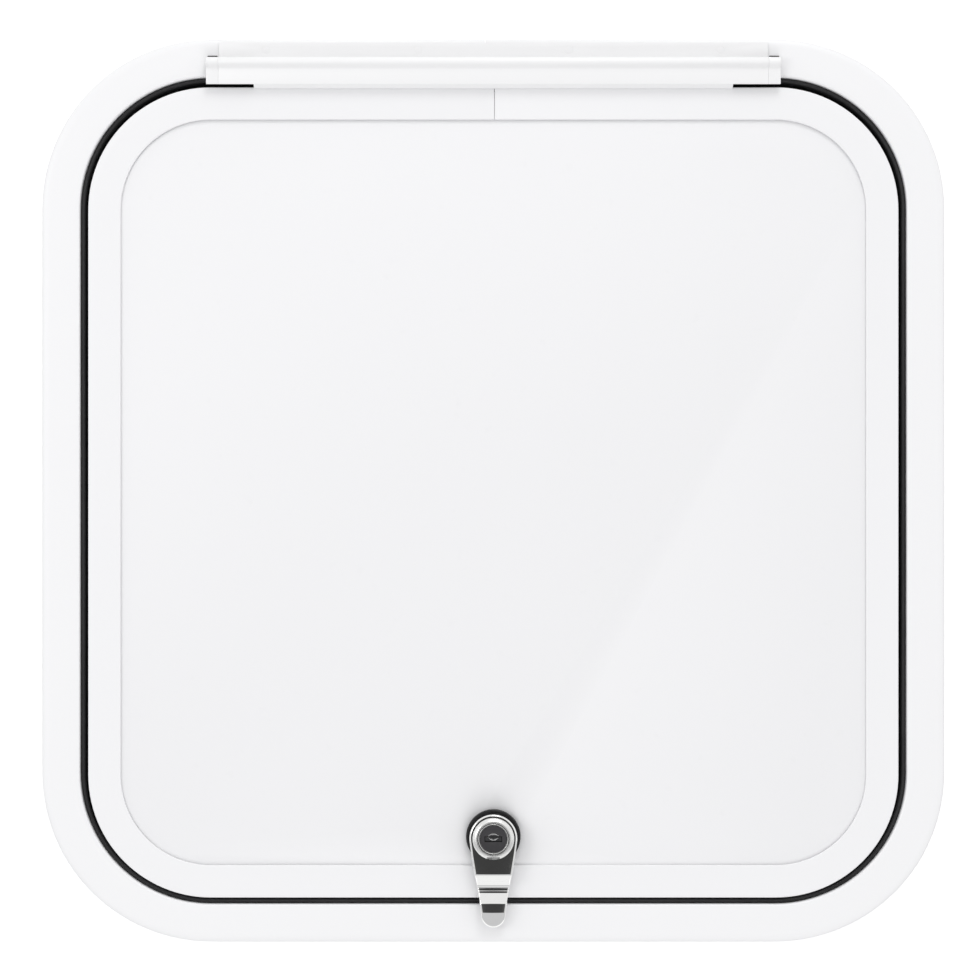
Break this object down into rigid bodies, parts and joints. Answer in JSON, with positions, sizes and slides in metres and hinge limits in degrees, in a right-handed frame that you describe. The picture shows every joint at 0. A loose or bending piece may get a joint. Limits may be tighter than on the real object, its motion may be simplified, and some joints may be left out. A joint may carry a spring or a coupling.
{
  "type": "deck hatch",
  "caption": "Square radius-corner deck hatch with a flanged frame, full-width top hinge, sandwich-panel door and a turning lever latch with key lock",
  "frame": {"origin": "centre of the square frame in plan, at the underside of the clamp ring", "axes": "+Z out of the deck, +Y toward the hinge, +X to the right when the hinge is at the top"},
  "size_m": [0.406, 0.406, 0.0381],
  "materials": {
    "frame_white": "white powder coat, fine orange peel, satin",
    "clamp_white": "white powder coat, fine orange peel, satin",
    "rim_white": "white powder coat, satin",
    "panel_white": "white painted sheet, very fine texture, low sheen",
    "panel_foam": "closed-cell core foam, matt",
    "hinge_white": "white powder coat over an extrusion, satin",
    "seal_rubber": "black extruded rubber, matt with a slight sheen",
    "small_rubber": "black moulded rubber",
    "foam_tape": "dark closed-cell foam tape, matt",
    "polished_stainless": "polished cast stainless steel",
    "satin_chrome": "satin bright metal with fine turning marks",
    "black_housing": "black moulded nylon",
    "black_plug": "black plated die casting, worn to a soft sheen",
    "shutter_steel": "bright stamped steel",
    "zinc_steel": "bright zinc-plated steel",
    "wafer_brass": "stamped brass",
    "mill_aluminium": "bare mill-finish aluminium"
  },
  "bodies": {
    "frame": {"outer_frame": "frame_white", "deck_gasket": "foam_tape", "frame_splice_plate": "mill_aluminium", "splice_rivet_1": "mill_aluminium", "splice_rivet_2": "mill_aluminium", "splice_rivet_3": "mill_aluminium", "splice_rivet_4": "mill_aluminium", "door_seal": "seal_rubber", "clamp_ring": "clamp_white", "clamp_ring_screw_1": "zinc_steel", "clamp_ring_screw_2": "zinc_steel", "clamp_ring_screw_3": "zinc_steel", "clamp_ring_screw_4": "zinc_steel", "clamp_ring_screw_5": "zinc_steel", "clamp_ring_screw_6": "zinc_steel", "clamp_ring_screw_7": "zinc_steel", "clamp_ring_screw_8": "zinc_steel", "hinge_frame_leaf": "hinge_white", "hinge_frame_rivet_1": "mill_aluminium", "hinge_frame_rivet_2": "mill_aluminium", "hinge_frame_rivet_3": "mill_aluminium", "hinge_frame_rivet_4": "mill_aluminium"},
    "door": {"door_rim": "rim_white", "rim_joint_key": "mill_aluminium", "door_outer_skin": "panel_white", "door_core": "panel_foam", "door_inner_skin": "panel_white", "hinge_door_leaf": "hinge_white", "hinge_end_cap_left": "hinge_white", "hinge_end_cap_right": "hinge_white", "hinge_door_rivet_1": "mill_aluminium", "hinge_door_rivet_2": "mill_aluminium", "hinge_door_rivet_3": "mill_aluminium", "hinge_door_rivet_4": "mill_aluminium", "latch_base_gasket": "small_rubber", "latch_housing": "black_housing", "housing_lock_washer": "zinc_steel", "housing_nut": "zinc_steel"},
    "lever": {"lever_handle": "polished_stainless", "lever_spindle": "zinc_steel", "spindle_o_ring": "small_rubber", "lock_cylinder": "satin_chrome", "latch_cam": "zinc_steel", "cam_washer": "zinc_steel", "cam_nut": "zinc_steel"},
    "plug": {"key_plug": "black_plug", "plug_retaining_clip": "zinc_steel", "plug_wafer_1": "wafer_brass", "plug_wafer_2": "wafer_brass", "plug_wafer_3": "wafer_brass", "plug_wafer_4": "wafer_brass"},
    "bolt": {"locking_bolt": "zinc_steel"},
    "shutter": {"keyway_shutter": "shutter_steel"}
  },
  "joints": [
    {"name": "door_hinge", "type": "hinge", "parent": "frame", "child": "door", "pos_m": [0, 0.1922, 0.0313], "axis": [-1, 0, 0], "range_deg": [0, 120]},
    {"name": "lever_turn", "type": "hinge", "parent": "door", "child": "lever", "pos_m": [0, -0.1554, 0.0279], "axis": [0, 0, 1], "range_deg": [0, 90]},
    {"name": "key_turn", "type": "hinge", "parent": "lever", "child": "plug", "pos_m": [0, -0.1554, 0.0279], "axis": [0, 0, 1], "range_deg": [0, 90]},
    {"name": "lock_bolt_slide", "type": "slide", "parent": "lever", "child": "bolt", "axis": [1, 0, 0], "range_m": [-0.0002, 0.0024]},
    {"name": "shutter_flap", "type": "hinge", "parent": "plug", "child": "shutter", "pos_m": [0, -0.15445, 0.0373], "axis": [-1, 0, 0], "range_deg": [0, 60], "stiffness_Nm_per_rad": 0.00002, "springref_deg": -28.65}
  ],
  "couplings": [
    {"joint": "lock_bolt_slide", "follows": "key_turn", "m_per_rad": 0.0012732}
  ]
}
